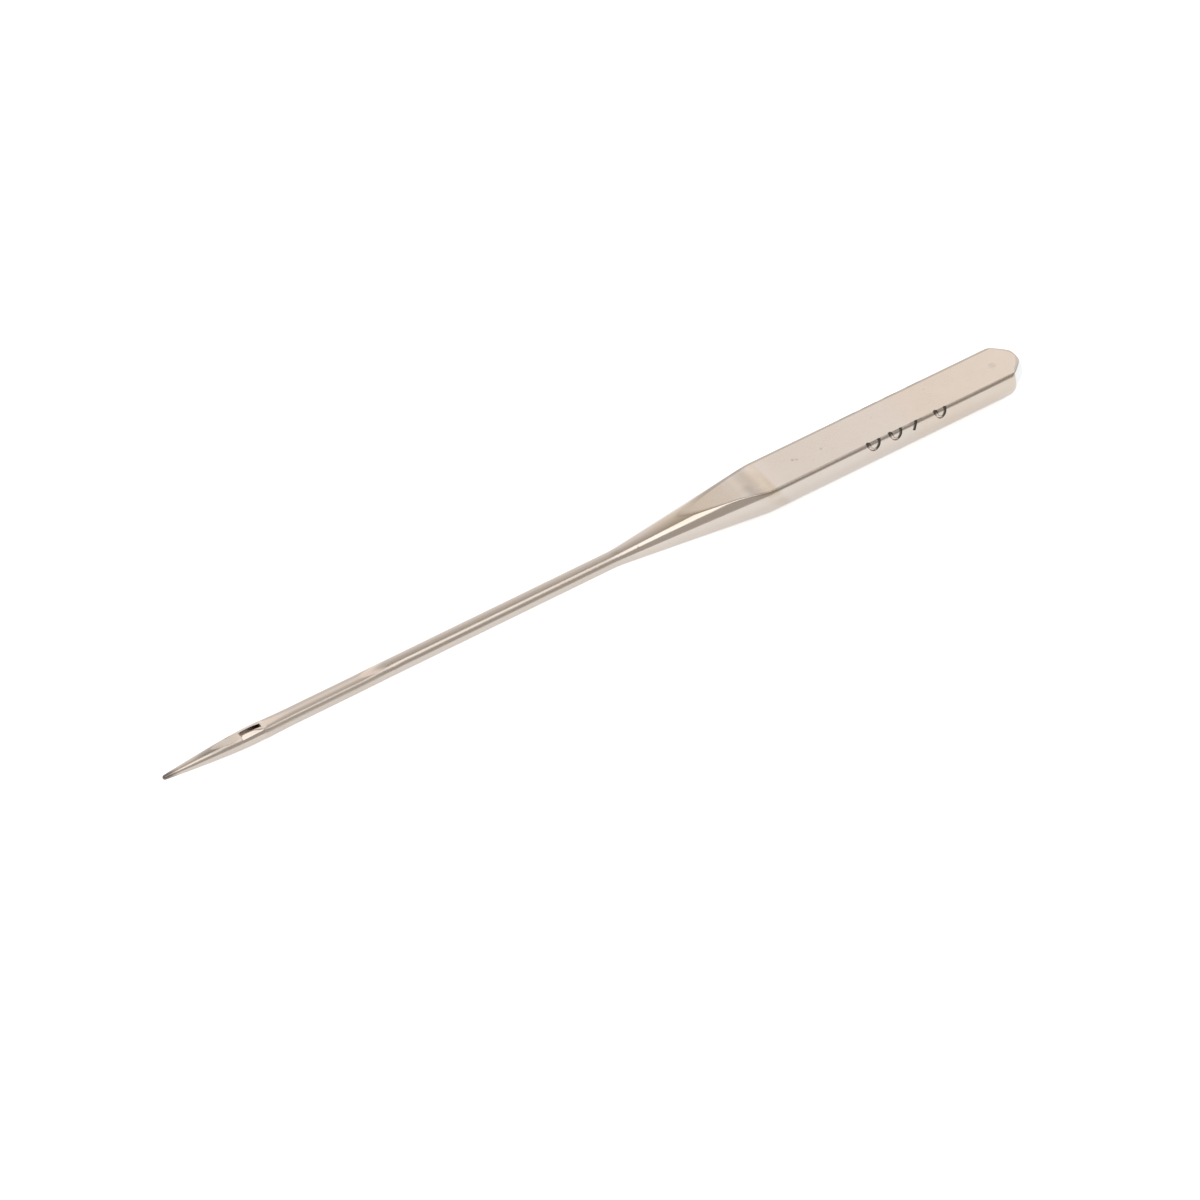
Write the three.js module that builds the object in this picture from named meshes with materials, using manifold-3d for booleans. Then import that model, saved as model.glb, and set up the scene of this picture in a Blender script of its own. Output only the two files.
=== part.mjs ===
// A household sewing machine needle with a flat on its shank, ground from one piece of steel wire.
// Sizes are in millimetres. The axis lies along X, with the butt face at the origin and the point
// towards -X. The flat and the scarf face +Z, and the long groove faces -Z.

import * as THREE from 'three';
import { mergeVertices } from 'three/addons/utils/BufferGeometryUtils.js';
import Module from 'manifold-3d';

// Shank: the thick end, which goes up into the needle bar
const SHANK_DIAMETER = 2.04;
const SHANK_LENGTH = 12.1;
const SHANK_FLAT_DEPTH = 0.475;
const SHANK_FLAT_RAMP = 1.2;
const SHANK_FLAT_RISE = 0.11;
const BUTT_CHAMFER_LENGTH = 0.66;
const BUTT_CHAMFER_DEPTH = 0.45;

// Taper: the cone between the shank and the blade
const TAPER_LENGTH = 6.6;

// Blade: the slender rod between the taper and the eye
const BLADE_DIAMETER = 0.65;
const BLADE_LENGTH = 15.55;

// Eye: a slot right through the blade, in a slight swelling
const EYE_LENGTH = 0.9;
const EYE_WIDTH = 0.21;
const EYE_SWELL_HEIGHT = 0.03;
const EYE_SWELL_RUN = 1.4;

// Point: a slender ogive with a small round tip
const POINT_LENGTH = 3.25;
const POINT_TIP_DIAMETER = 0.17;
const POINT_FULLNESS = 1.4;

// Scarf: the shallow flat above the eye, where the hook passes
const SCARF_LENGTH = 4.4;
const SCARF_DEPTH = 0.04;
const SCARF_SHANK_RAMP = 0.8;
const SCARF_EYE_RAMP = 0.25;

// Long groove: it shelters the thread on the side away from the scarf, from the taper to the eye
const LONG_GROOVE_WIDTH = 0.26;
const LONG_GROOVE_DEPTH = 0.15;
const LONG_GROOVE_SHANK_RAMP = 2.2;
const LONG_GROOVE_POINT_RAMP = 0.9;

// Short groove: it runs from the eye a little way down the point, on the scarf's side
const SHORT_GROOVE_WIDTH = 0.18;
const SHORT_GROOVE_DEPTH = 0.06;
const SHORT_GROOVE_LENGTH = 1.0;

// Fineness of the solid
const SIDES = 48;
const SWELL_STEPS = 3;
const POINT_STEPS = 10;
const TIP_STEPS = 3;
const EYE_END_SEGMENTS = 6;

// How far a cutter reaches past what it cuts
const CUT_MARGIN = 0.5;

// Radii
const shankRadius = SHANK_DIAMETER / 2;
const buttFaceRadius = shankRadius - BUTT_CHAMFER_DEPTH;
const bladeRadius = BLADE_DIAMETER / 2;
const eyeRadius = bladeRadius + EYE_SWELL_HEIGHT;
const tipRadius = POINT_TIP_DIAMETER / 2;

// Places along the axis, from the butt to the point
const shankEnd = -SHANK_LENGTH;
const taperEnd = shankEnd - TAPER_LENGTH;
const eyeShankEnd = taperEnd - BLADE_LENGTH;
const eyePointEnd = eyeShankEnd - EYE_LENGTH;
const eyeMiddle = (eyeShankEnd + eyePointEnd) / 2;
const swellStart = eyeShankEnd + EYE_SWELL_RUN;
const tipBallCentre = eyePointEnd - POINT_LENGTH + tipRadius;

const wasm = await Module();
wasm.setup();

/** The cone's radius at a place along the axis. */
function taperRadiusAt(x) {
  return THREE.MathUtils.mapLinear(x, shankEnd, taperEnd, shankRadius, bladeRadius);
}

/** The point's radius at a place along the axis, from the round tip to the middle of the eye. */
function pointRadiusAt(x) {
  const fromTip = (x - tipBallCentre) / (eyeMiddle - tipBallCentre);
  const fullness = 1 - (1 - fromTip) ** POINT_FULLNESS;
  return THREE.MathUtils.lerp(tipRadius, eyeRadius, fullness);
}

/** The needle's half outline, as radius and place along the axis, from the tip to the butt. */
function needleProfile() {
  const points = [];
  for (let step = 0; step < TIP_STEPS; step += 1) {
    const angle = (step / TIP_STEPS) * (Math.PI / 2);
    points.push(new THREE.Vector2(tipRadius * Math.sin(angle), tipBallCentre - tipRadius * Math.cos(angle)));
  }
  for (let step = 0; step <= POINT_STEPS; step += 1) {
    const x = THREE.MathUtils.lerp(tipBallCentre, eyeMiddle, step / POINT_STEPS);
    points.push(new THREE.Vector2(pointRadiusAt(x), x));
  }
  for (let step = 1; step <= SWELL_STEPS; step += 1) {
    const share = step / SWELL_STEPS;
    const height = EYE_SWELL_HEIGHT * 0.5 * (1 + Math.cos(Math.PI * share));
    points.push(new THREE.Vector2(bladeRadius + height, THREE.MathUtils.lerp(eyeMiddle, swellStart, share)));
  }
  points.push(new THREE.Vector2(bladeRadius, taperEnd));
  points.push(new THREE.Vector2(shankRadius, shankEnd));
  points.push(new THREE.Vector2(shankRadius, -BUTT_CHAMFER_LENGTH));
  points.push(new THREE.Vector2(buttFaceRadius, 0));
  points.push(new THREE.Vector2(0, 0));
  return points;
}

/** The round wire blank before anything is cut, with one of its narrow facets facing -Z. */
function turnedBlank() {
  const geometry = new THREE.LatheGeometry(needleProfile(), SIDES);
  geometry.rotateY(Math.PI / 2 + Math.PI / SIDES);
  geometry.rotateZ(-Math.PI / 2);
  return geometry;
}

/** A cutter of a given width across the needle, from its outline seen from the side. */
function sideCutter(outline, width) {
  const shape = new THREE.Shape(outline.map(([x, z]) => new THREE.Vector2(x, z)));
  const geometry = new THREE.ExtrudeGeometry(shape, { depth: width, bevelEnabled: false });
  geometry.rotateX(Math.PI / 2);
  geometry.translate(0, width / 2, 0);
  return geometry;
}

/** The cutter of the shank's flat, which ramps up a little on the cone and then runs out by itself. */
function flatCutter() {
  const floor = shankRadius - SHANK_FLAT_DEPTH;
  const above = shankRadius + CUT_MARGIN;
  const outline = [
    [taperEnd, floor + SHANK_FLAT_RISE],
    [shankEnd - SHANK_FLAT_RAMP, floor + SHANK_FLAT_RISE],
    [shankEnd, floor],
    [CUT_MARGIN, floor],
    [CUT_MARGIN, above],
    [taperEnd, above],
  ];
  return sideCutter(outline, SHANK_DIAMETER + 2 * CUT_MARGIN);
}

/** The cutter of the scarf, with a long ramp towards the shank and a short one into the eye. */
function scarfCutter() {
  const floor = bladeRadius - SCARF_DEPTH;
  const outline = [
    [eyeShankEnd - SCARF_EYE_RAMP, eyeRadius],
    [eyeShankEnd, floor],
    [eyeShankEnd + SCARF_LENGTH, floor],
    [eyeShankEnd + SCARF_LENGTH + SCARF_SHANK_RAMP, bladeRadius],
    [eyeShankEnd + SCARF_LENGTH + SCARF_SHANK_RAMP, eyeRadius + CUT_MARGIN],
    [eyeShankEnd - SCARF_EYE_RAMP, eyeRadius + CUT_MARGIN],
  ];
  return sideCutter(outline, BLADE_DIAMETER + 2 * CUT_MARGIN);
}

/** The cutter of the long groove, which starts on the cone and runs out just past the eye. */
function longGrooveCutter() {
  const floor = LONG_GROOVE_DEPTH - bladeRadius;
  const below = -shankRadius - CUT_MARGIN;
  const rampEnd = taperEnd + LONG_GROOVE_SHANK_RAMP;
  const outline = [
    [eyePointEnd - LONG_GROOVE_POINT_RAMP, -eyeRadius],
    [eyePointEnd - LONG_GROOVE_POINT_RAMP, below],
    [rampEnd, below],
    [rampEnd, -taperRadiusAt(rampEnd)],
    [taperEnd, floor],
    [eyePointEnd, floor],
  ];
  return sideCutter(outline, LONG_GROOVE_WIDTH);
}

/** The cutter of the short groove, deepest at the eye and running out down the point. */
function shortGrooveCutter() {
  const grooveEnd = eyePointEnd - SHORT_GROOVE_LENGTH;
  const outline = [
    [grooveEnd, pointRadiusAt(grooveEnd)],
    [eyePointEnd, pointRadiusAt(eyePointEnd) - SHORT_GROOVE_DEPTH],
    [eyeMiddle, eyeRadius - SHORT_GROOVE_DEPTH],
    [eyeMiddle, eyeRadius + CUT_MARGIN],
    [grooveEnd, eyeRadius + CUT_MARGIN],
  ];
  return sideCutter(outline, SHORT_GROOVE_WIDTH);
}

/** The cutter of the eye, a slot with round ends that goes right through. */
function eyeCutter() {
  const endRadius = EYE_WIDTH / 2;
  const shape = new THREE.Shape();
  shape.absarc(eyeShankEnd - endRadius, 0, endRadius, -Math.PI / 2, Math.PI / 2, false);
  shape.absarc(eyePointEnd + endRadius, 0, endRadius, Math.PI / 2, (3 * Math.PI) / 2, false);
  const height = 2 * (eyeRadius + CUT_MARGIN);
  const options = { depth: height, bevelEnabled: false, curveSegments: EYE_END_SEGMENTS };
  const geometry = new THREE.ExtrudeGeometry(shape, options);
  geometry.translate(0, 0, -height / 2);
  return geometry;
}

/** The closed solid of a geometry, with its shared vertices merged. */
function toSolid(geometry) {
  const bare = geometry.clone();
  bare.deleteAttribute('normal');
  bare.deleteAttribute('uv');
  const merged = mergeVertices(bare);
  const corners = merged.index.array;
  const triangles = [];
  for (let first = 0; first < corners.length; first += 3) {
    const [a, b, c] = corners.slice(first, first + 3);
    if (a !== b && b !== c && c !== a) {
      triangles.push(a, b, c);
    }
  }
  return new wasm.Manifold(new wasm.Mesh({
    numProp: 3,
    vertProperties: new Float32Array(merged.attributes.position.array),
    triVerts: new Uint32Array(triangles),
  }));
}

/** The three.js geometry of a solid. */
function toGeometry(solid) {
  const mesh = solid.getMesh();
  const geometry = new THREE.BufferGeometry();
  geometry.setAttribute('position', new THREE.BufferAttribute(mesh.vertProperties, 3));
  geometry.setIndex(new THREE.BufferAttribute(mesh.triVerts, 1));
  geometry.computeVertexNormals();
  return geometry;
}

/** The finished needle: the blank with its flat, scarf, grooves and eye cut, in that order. */
function needle() {
  const cutters = [flatCutter(), scarfCutter(), longGrooveCutter(), shortGrooveCutter(), eyeCutter()];
  const solid = cutters.reduce((body, cutter) => body.subtract(toSolid(cutter)), toSolid(turnedBlank()));
  const nickelPlatedSteel = new THREE.MeshStandardMaterial({ color: 0xd8cdc4, roughness: 0.28, metalness: 1.0 });
  const mesh = new THREE.Mesh(toGeometry(solid), nickelPlatedSteel);
  mesh.name = 'needle';
  return mesh;
}

const group = new THREE.Group();
group.add(needle());

export default group;
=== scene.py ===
"""A household sewing machine needle lying on a white table with the flat of its shank upwards.

The needle is one piece of plated steel wire. Its mesh is a ring that is carried along the axis
from the butt to the point, with the flat, the scarf and the grooves in its cross-section. The eye
is then pierced through it, and plain marks are stamped into the shank. Lengths are in millimetres
until the finished mesh is brought to metres, and the needle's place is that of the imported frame.
"""

import logging
import math
from dataclasses import dataclass, field
from enum import Enum

import bmesh
import bpy
from mathutils import Matrix, Vector
from mathutils.bvhtree import BVHTree


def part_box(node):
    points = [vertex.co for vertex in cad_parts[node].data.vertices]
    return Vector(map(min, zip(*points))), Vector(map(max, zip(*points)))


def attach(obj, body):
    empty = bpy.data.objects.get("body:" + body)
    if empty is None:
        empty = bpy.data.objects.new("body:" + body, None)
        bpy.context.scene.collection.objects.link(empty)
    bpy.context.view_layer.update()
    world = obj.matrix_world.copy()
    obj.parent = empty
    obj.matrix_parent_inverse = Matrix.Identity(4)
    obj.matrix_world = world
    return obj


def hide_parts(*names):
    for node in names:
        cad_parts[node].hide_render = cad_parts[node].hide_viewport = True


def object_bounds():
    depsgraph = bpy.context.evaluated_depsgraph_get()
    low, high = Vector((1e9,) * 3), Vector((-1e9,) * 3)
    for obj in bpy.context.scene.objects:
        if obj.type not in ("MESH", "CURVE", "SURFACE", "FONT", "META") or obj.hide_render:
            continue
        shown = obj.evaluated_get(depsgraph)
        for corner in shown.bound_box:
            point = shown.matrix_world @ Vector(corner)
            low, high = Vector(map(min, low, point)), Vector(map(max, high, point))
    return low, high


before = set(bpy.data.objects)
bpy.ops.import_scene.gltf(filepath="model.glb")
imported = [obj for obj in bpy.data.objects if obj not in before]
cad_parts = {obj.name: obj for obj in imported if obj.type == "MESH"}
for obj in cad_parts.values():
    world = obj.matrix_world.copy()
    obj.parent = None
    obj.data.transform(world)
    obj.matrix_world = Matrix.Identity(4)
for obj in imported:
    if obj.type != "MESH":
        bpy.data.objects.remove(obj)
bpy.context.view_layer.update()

Span = tuple[float, float]
Place = tuple[float, float, float]
Colour = tuple[float, float, float, float]
Edge = bmesh.types.BMEdge
Vert = bmesh.types.BMVert

MM_PER_METRE = 1000.0
WHITE: Colour = (1.0, 1.0, 1.0, 1.0)

logging.basicConfig(level=logging.INFO, format="%(name)s: %(message)s")
log = logging.getLogger("needle")


def smoothstep(low: float, high: float, value: float) -> float:
    """An even rise from 0 to 1 as a value goes from low to high, which may lie in either order."""
    share = min(1.0, max(0.0, (value - low) / (high - low)))
    return share * share * (3.0 - 2.0 * share)


def soft_min(first: float, second: float, softness: float) -> float:
    """The smaller of two values, rounded off where they differ by less than the softness."""
    reach = max(softness - abs(first - second), 0.0)
    return min(first, second) - reach * reach / (4.0 * softness)


def spread(start: float, end: float, count: int) -> list[float]:
    """Evenly spaced values from start, which is left out, to end, which is the last."""
    return [start + (end - start) * step / count for step in range(1, count + 1)]


def walk(start: float, stops: tuple[float, ...], counts: tuple[int, ...]) -> list[float]:
    """Values from a start through several stops, evenly spaced from each stop to the next.

    Args:
        start: The first value.
        stops: Where the spacing changes.
        counts: The number of values up to each stop.

    Returns:
        The values in order.
    """
    values = [start]
    for stop, count in zip(stops, counts, strict=True):
        values += spread(values[-1], stop, count)
    return values


@dataclass(frozen=True)
class Corner:
    """A corner of an outline, with the half length of the parabola that rounds it."""

    x: float
    height: float
    rounding: float = 0.0


def rounded_outline(corners: list[Corner], x: float) -> float:
    """The height of an outline of straight lines with rounded corners.

    Args:
        corners: The corners in order of falling x. The first and last lines go on straight.
        x: The place along the needle's axis.

    Returns:
        The height of the outline there.
    """
    spans = list(zip(corners, corners[1:]))
    slopes = [(a.height - b.height) / (a.x - b.x) for a, b in spans]
    here = next((i for i, (_, b) in enumerate(spans) if x > b.x), len(spans) - 1)
    height = corners[here].height + slopes[here] * (x - corners[here].x)
    for corner, before, after in zip(corners[1:-1], slopes, slopes[1:]):
        reach = corner.rounding - abs(x - corner.x)
        if reach > 0.0:
            height += (before - after) * reach * reach / (4.0 * corner.rounding)
    return height


def extrude(body: bmesh.types.BMesh, rim: list[Edge]) -> tuple[list[Edge], list[Vert]]:
    """Extrudes a loop of edges in place, and gives the edges and the vertices of the new loop."""
    made = bmesh.ops.extrude_edge_only(body, edges=rim)["geom"]
    return tuple([part for part in made if isinstance(part, kind)] for kind in (Edge, Vert))


def sweep(body: bmesh.types.BMesh, rings: list[list[Place]], start: Place, end: Place) -> None:
    """Carries a ring through its places and closes it to a point at either end.

    Args:
        body: The mesh that it is added to. Each vertex gets its number in the ring as its column.
        rings: The places of the vertices of each ring in turn.
        start: The point that closes the first ring.
        end: The point that closes the last ring.
    """
    column = body.verts.layers.int["column"]
    made = bmesh.ops.create_circle(body, cap_ends=True, cap_tris=True, segments=len(rings[0]), radius=1.0)
    centre = next(vert for vert in made["verts"] if vert.co.length < 0.5)
    centre.co = start
    verts = [vert for vert in made["verts"] if vert is not centre]
    rim = [edge for edge in body.edges if edge.is_boundary]
    for number, vert in enumerate(verts):
        vert[column] = number
    for step, places in enumerate(rings):
        if step:
            rim, verts = extrude(body, rim)
        for vert in verts:
            vert.co = places[vert[column]]
    bmesh.ops.pointmerge(body, verts=extrude(body, rim)[1], merge_co=end)


def add_object(name: str, data: bpy.types.ID) -> bpy.types.Object:
    """Puts a mesh, a lamp or a camera into the scene.

    Args:
        name: The object's name.
        data: What it holds.

    Returns:
        The object.
    """
    thing = bpy.data.objects.new(name, data)
    bpy.context.scene.collection.objects.link(thing)
    return thing


def add_shape(name: str, shape: bmesh.types.BMesh) -> bpy.types.Object:
    """Puts a finished shape into the scene.

    Args:
        name: The name of the object and of its mesh.
        shape: The shape, which is freed.

    Returns:
        The object.
    """
    mesh = bpy.data.meshes.new(name)
    shape.to_mesh(mesh)
    shape.free()
    return add_object(name, mesh)


@dataclass(frozen=True)
class Station:
    """A ring of the needle's mesh: its place along the axis and the wire's radius there."""

    x: float
    radius: float


@dataclass
class Blank:
    """The turned wire before anything is ground or milled into it, in millimetres."""

    length: float
    shank_radius: float = 1.02
    shank_length: float = 12.1
    shank_corner: float = 0.15
    butt_face_radius: float = 0.57
    butt_chamfer_length: float = 0.66
    butt_rounding: float = 0.12
    chamfer_corner: float = 0.13
    taper_length: float = 6.6
    taper_corner: float = 0.3
    blade_radius: float = 0.334
    eye_length: float = 0.9
    eye_width: float = 0.165
    eye_swell_height: float = 0.03
    eye_swell_run: float = 1.4
    eye_shank_lead: float = 0.13
    eye_point_lead: float = 0.04
    point_length: float = 3.25
    point_fullness: float = 1.42
    tip_radius: float = 0.095
    butt_face_rings: tuple[float, ...] = (0.3, 0.6, 0.85)
    butt_edge_rings: int = 6
    rings_between_stops: tuple[int, ...] = (14, 6, 14, 10, 72, 12, 20, 26, 16, 20, 12, 16, 8, 46, 10)
    tip_rings: int = 7
    scarf_start_zone: Span = (5.6, 4.0)
    tip_zone: float = 0.5

    def __post_init__(self) -> None:
        """Works out the places along the axis, from the butt at 0 to the tip."""
        self.chamfer_end = -self.butt_chamfer_length
        self.chamfer_slope = (self.shank_radius - self.butt_face_radius) / self.butt_chamfer_length
        self.shank_end = -self.shank_length
        self.taper_end = self.shank_end - self.taper_length
        self.eye_point_end = self.point_length - self.length
        self.eye_shank_end = self.eye_point_end + self.eye_length
        self.eye_middle = (self.eye_point_end + self.eye_shank_end) / 2.0
        self.eye_radius = self.blade_radius + self.eye_swell_height
        self.swell_start = self.eye_shank_end + self.eye_swell_run
        self.tip_ball_centre = self.tip_radius - self.length
        self.corners = [
            Corner(0.0, self.butt_face_radius),
            Corner(self.chamfer_end, self.shank_radius, self.chamfer_corner),
            Corner(self.shank_end, self.shank_radius, self.shank_corner),
            Corner(self.taper_end, self.blade_radius, self.taper_corner),
            Corner(-self.length, self.blade_radius),
        ]

    def radius_at(self, x: float) -> float:
        """The wire's radius at a place along the axis, past the butt's rounded edge.

        Args:
            x: The place along the axis.

        Returns:
            The radius there.
        """
        if x <= self.eye_middle:
            from_tip = (x - self.tip_ball_centre) / (self.eye_middle - self.tip_ball_centre)
            fullness = 1.0 - (1.0 - from_tip) ** self.point_fullness
            return self.tip_radius + (self.eye_radius - self.tip_radius) * fullness
        radius = rounded_outline(self.corners, x)
        if x < self.swell_start:
            share = (self.swell_start - x) / (self.swell_start - self.eye_middle)
            radius += self.eye_swell_height * 0.5 * (1.0 - math.cos(math.pi * share))
        return radius

    def butt_stations(self) -> list[Station]:
        """The rings of the flat butt face and of the rounded edge around it."""
        turn = math.pi / 2.0 - math.atan(self.chamfer_slope)
        inset = self.butt_rounding * (math.sin(turn) - self.chamfer_slope * (1.0 - math.cos(turn)))
        flat_radius = self.butt_face_radius - inset
        rings = [Station(0.0, flat_radius * share) for share in self.butt_face_rings]
        for angle in [0.0, *spread(0.0, turn, self.butt_edge_rings)]:
            x = -self.butt_rounding * (1.0 - math.cos(angle))
            rings.append(Station(x, flat_radius + self.butt_rounding * math.sin(angle)))
        return rings

    def stations(self) -> list[Station]:
        """All the rings from the butt face to the last one before the tip, in order."""
        rings = self.butt_stations()
        stops = (
            self.chamfer_end + self.chamfer_corner,
            self.chamfer_end - self.chamfer_corner,
            self.shank_end + self.shank_corner,
            self.shank_end - self.shank_corner,
            self.taper_end + self.taper_corner,
            self.taper_end - self.taper_corner,
            *(self.eye_shank_end + reach for reach in self.scarf_start_zone),
            self.swell_start,
            self.eye_shank_end + self.eye_shank_lead,
            self.eye_shank_end - self.eye_width / 2.0,
            self.eye_point_end + self.eye_width / 2.0,
            self.eye_point_end - self.eye_point_lead,
            self.tip_ball_centre + self.tip_zone,
            self.tip_ball_centre,
        )
        places = walk(rings[-1].x, stops, self.rings_between_stops)
        rings += [Station(x, self.radius_at(x)) for x in places[1:]]
        for angle in spread(math.pi / 2.0, 0.0, self.tip_rings)[:-1]:
            x = self.tip_ball_centre - self.tip_radius * math.cos(angle)
            rings.append(Station(x, self.tip_radius * math.sin(angle)))
        return rings


@dataclass
class CrossSection:
    """What is ground and milled into the wire, and how a ring's columns lie round it, in millimetres."""

    blank: Blank
    flat_height: float = 0.545
    flat_ramp: float = 1.2
    flat_rise: float = 0.105
    flat_corner: float = 0.4
    flat_softness: float = 0.065
    flat_runout_softness: float = 0.038
    flat_limit: float = math.radians(86.4)
    scarf_height: float = 0.305
    scarf_softness: float = 0.065
    scarf_softening_run: float = 0.8
    scarf_least_softness: float = 0.01
    scarf_flattening: float = 0.07
    scarf_deepening: float = 0.06
    scarf_deepening_run: float = 1.1
    scarf_deepening_end: Span = (-0.05, 0.2)
    scarf_length: float = 4.4
    scarf_ramp: float = 0.8
    scarf_eye_ramp: float = 0.25
    scarf_corner: float = 0.12
    long_groove_half_width: float = 0.145
    long_groove_depth: float = 0.15
    long_groove_ramp: float = 2.2
    long_groove_eye_ramp: float = 0.9
    long_groove_corners: Span = (0.3, 0.1)
    long_groove_lip: float = 0.02
    short_groove_half_width: float = 0.165
    short_groove_depth: float = 0.07
    short_groove_length: float = 1.0
    short_groove_ramp_end: float = 0.3
    short_groove_mouth: Span = (0.15, -0.1)
    short_groove_slope: float = 0.73
    short_groove_softness: float = 0.01
    cheek_angle: float = math.radians(30.5)
    cheek_turn: float = math.radians(2.0)
    cheek_reach: float = math.radians(15.0)
    cheek_narrowing: float = 0.25
    cheek_softness: float = 0.004
    flat_columns: int = 10
    edge_columns: int = 12
    round_columns: int = 30
    lip_columns: int = 4
    groove_columns: int = 12
    widest_edge: float = math.radians(13.0)
    narrowest_edge: float = math.radians(1.1)
    edge_reach: float = 1.15
    edge_blend: float = 0.1
    plain_groove_share: float = 0.42
    closed_groove_share: float = 0.55
    open_groove_depth: float = 0.04
    widest_groove_share: float = 0.6
    groove_gathering: Span = (2.0, -0.1)
    groove_release: Span = (-0.3, -1.2)
    widest_lip: float = 0.1
    lip_turn: float = 0.15

    def __post_init__(self) -> None:
        """Works out the side outlines of the flat, the scarf and the groove, and the number of columns."""
        wire = self.blank
        raised = self.flat_height + self.flat_rise
        self.flat_outline = [
            Corner(0.0, self.flat_height),
            Corner(wire.shank_end, self.flat_height, self.flat_corner),
            Corner(wire.shank_end - self.flat_ramp, raised, self.flat_corner),
            Corner(wire.taper_end, raised),
        ]
        self.scarf_start = wire.eye_shank_end + self.scarf_length + self.scarf_ramp
        self.scarf_outline = [
            Corner(self.scarf_start, wire.blade_radius),
            Corner(wire.eye_shank_end + self.scarf_length, self.scarf_height, self.scarf_corner),
            Corner(wire.eye_shank_end, self.scarf_height, self.scarf_corner),
            Corner(wire.eye_shank_end - self.scarf_eye_ramp, wire.eye_radius),
        ]
        groove_floor = wire.blade_radius - self.long_groove_depth
        self.groove_start = wire.taper_end + self.long_groove_ramp
        self.groove_outline = [
            Corner(self.groove_start, wire.radius_at(self.groove_start)),
            Corner(wire.taper_end, groove_floor, self.long_groove_corners[0]),
            Corner(wire.eye_point_end, groove_floor, self.long_groove_corners[1]),
            Corner(wire.eye_point_end - self.long_groove_eye_ramp, wire.eye_radius),
        ]
        self.angle_columns = (self.flat_columns, self.edge_columns, self.round_columns)
        self.half_columns = sum(self.angle_columns) + self.lip_columns + self.groove_columns

    def cut_at(self, x: float) -> tuple[float, float]:
        """The flat or the scarf that is ground into the wire at a place.

        Args:
            x: The place along the axis.

        Returns:
            Its height above the axis and the softness of its edge.
        """
        if x < self.blank.taper_end:
            softening = smoothstep(self.scarf_start + self.scarf_softening_run, self.scarf_start, x)
            softness = self.scarf_softness * softening + self.scarf_least_softness
            return rounded_outline(self.scarf_outline, x), softness
        runout = smoothstep(self.blank.shank_end, self.blank.shank_end - self.flat_ramp, x)
        softness = self.flat_softness + (self.flat_runout_softness - self.flat_softness) * runout
        return rounded_outline(self.flat_outline, x), softness

    def edge_angles(self, x: float, radius: float, softness: float) -> tuple[float, float]:
        """Where the columns that round the ground edge start and end.

        Args:
            x: The place along the axis.
            radius: The wire's radius there.
            softness: The edge's softness there.

        Returns:
            The first and the last angle, from the top.
        """
        plain = math.acos(self.scarf_height / self.blank.blade_radius)
        crossing = math.acos(min(1.0, rounded_outline(self.flat_outline, x) / radius))
        middle = -soft_min(-crossing, -plain, self.edge_blend)
        reach = self.edge_reach * softness / (radius * math.tan(middle))
        reach = min(self.widest_edge, max(self.narrowest_edge, reach))
        return middle - reach, middle + reach

    def oval_at(self, x: float) -> float:
        """How far the blade is deepened below the scarf, from 0 to 1."""
        begun = smoothstep(self.scarf_start, self.scarf_start - self.scarf_deepening_run, x)
        return begun * smoothstep(*self.scarf_deepening_end, x - self.blank.eye_shank_end)

    def cheek_radius(self, x: float, radius: float, angle: float) -> float:
        """How far the surface is from the axis, with the cheeks beside the eye polished flat.

        Args:
            x: The place along the axis.
            radius: How far it is without the cheeks.
            angle: The angle from the top.

        Returns:
            The distance from the axis.
        """
        wire = self.blank
        if not wire.eye_point_end <= x <= wire.eye_shank_end:
            return radius
        share = (x - wire.eye_point_end) / wire.eye_length
        facing = self.cheek_angle - self.cheek_turn * share
        height = wire.radius_at(x) * math.cos(self.cheek_reach * (1.0 - self.cheek_narrowing * share))
        return soft_min(radius, height / math.cos(angle - facing), self.cheek_softness)

    def short_groove_height(self, x: float, radius: float, out: float) -> float:
        """The height of the short groove's floor or wall at a place.

        Args:
            x: The place along the axis.
            radius: The wire's radius there.
            out: How far it is from the middle plane.

        Returns:
            The height above the axis, which is above the wire where there is no groove.
        """
        wire = self.blank
        start = wire.eye_point_end - self.short_groove_length
        if not start <= x <= wire.eye_middle:
            return wire.shank_radius
        depth = self.short_groove_depth * smoothstep(*self.short_groove_mouth, x - wire.eye_point_end)
        depth *= smoothstep(start, wire.eye_point_end - self.short_groove_ramp_end, x)
        return radius - depth + self.short_groove_slope * max(0.0, out - self.short_groove_half_width)

    def groove_depth_at(self, x: float, radius: float) -> float:
        """The long groove's depth at a place, measured from the underside of the wire."""
        return max(0.0, radius - rounded_outline(self.groove_outline, x)) if x <= self.groove_start else 0.0

    def groove_width_at(self, x: float, radius: float, depth: float) -> float:
        """Half the width that the groove's columns take up on the underside.

        Args:
            x: The place along the axis.
            radius: The wire's radius there.
            depth: The long groove's depth there.

        Returns:
            The half width.
        """
        whole = self.blank.radius_at(min(x, self.blank.chamfer_end))
        plain = self.plain_groove_share * whole
        narrow = min(self.long_groove_half_width, plain)
        width = plain + (self.long_groove_half_width - plain) * smoothstep(
            *self.groove_gathering, x - self.groove_start
        )
        width += (narrow - width) * smoothstep(*self.groove_release, x - self.blank.eye_point_end)
        opened = math.sqrt(min(1.0, depth / self.open_groove_depth))
        width *= self.closed_groove_share + (1.0 - self.closed_groove_share) * opened
        return min(width * min(1.0, radius / whole), self.widest_groove_share * radius)

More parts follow.
